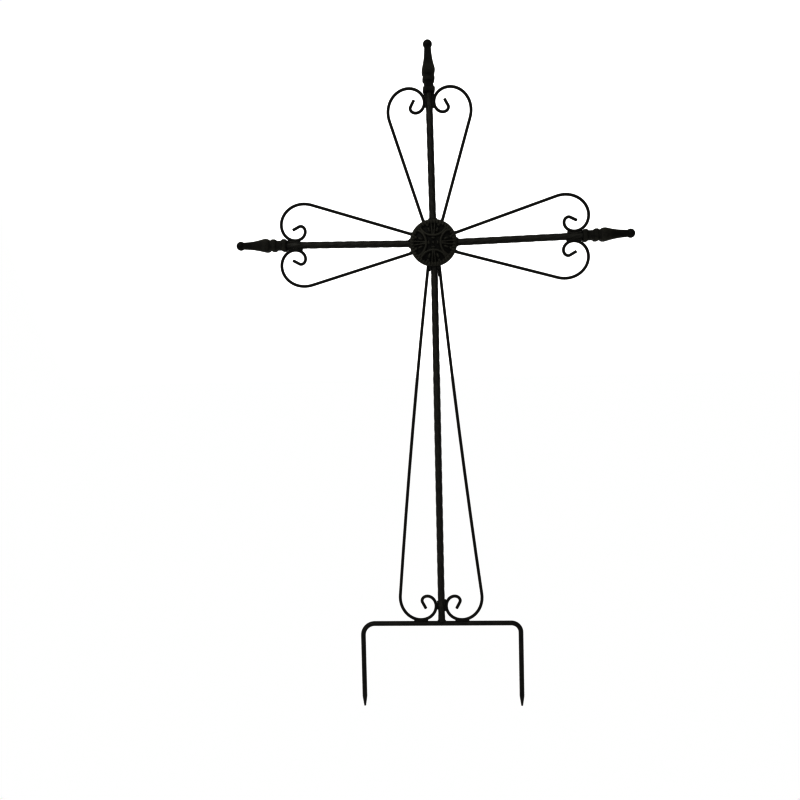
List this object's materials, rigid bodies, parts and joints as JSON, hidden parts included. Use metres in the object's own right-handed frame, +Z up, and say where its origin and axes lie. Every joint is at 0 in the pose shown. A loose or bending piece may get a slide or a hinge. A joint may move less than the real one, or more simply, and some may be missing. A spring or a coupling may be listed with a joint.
{
  "type": "grave cross",
  "caption": "Slender wrought iron grave cross with twisted bars, wire scrolls, square finials and a round ribbed medallion, on a two-pronged ground stake.",
  "frame": {"origin": "on the ground line: the underside of the stake's crossbar, straight below the post", "axes": "+Z up along the post, +X to the viewer's right along the arms, the medallion's face towards -Y"},
  "size_m": [0.7962, 0.0315, 1.3416],
  "materials": {
    "wrought_black": "satin black paint",
    "cast_black": "satin black paint over a cast surface"
  },
  "bodies": {
    "root": {"ground_stake": "wrought_black", "post": "wrought_black", "top_arm": "wrought_black", "left_arm": "wrought_black", "right_arm": "wrought_black", "medallion": "cast_black", "top_finial": "cast_black", "left_finial": "cast_black", "right_finial": "cast_black", "top_scroll_left": "wrought_black", "top_scroll_right": "wrought_black", "left_scroll_upper": "wrought_black", "left_scroll_lower": "wrought_black", "right_scroll_upper": "wrought_black", "right_scroll_lower": "wrought_black", "lower_scroll_left": "wrought_black", "lower_scroll_right": "wrought_black"}
  },
  "joints": []
}
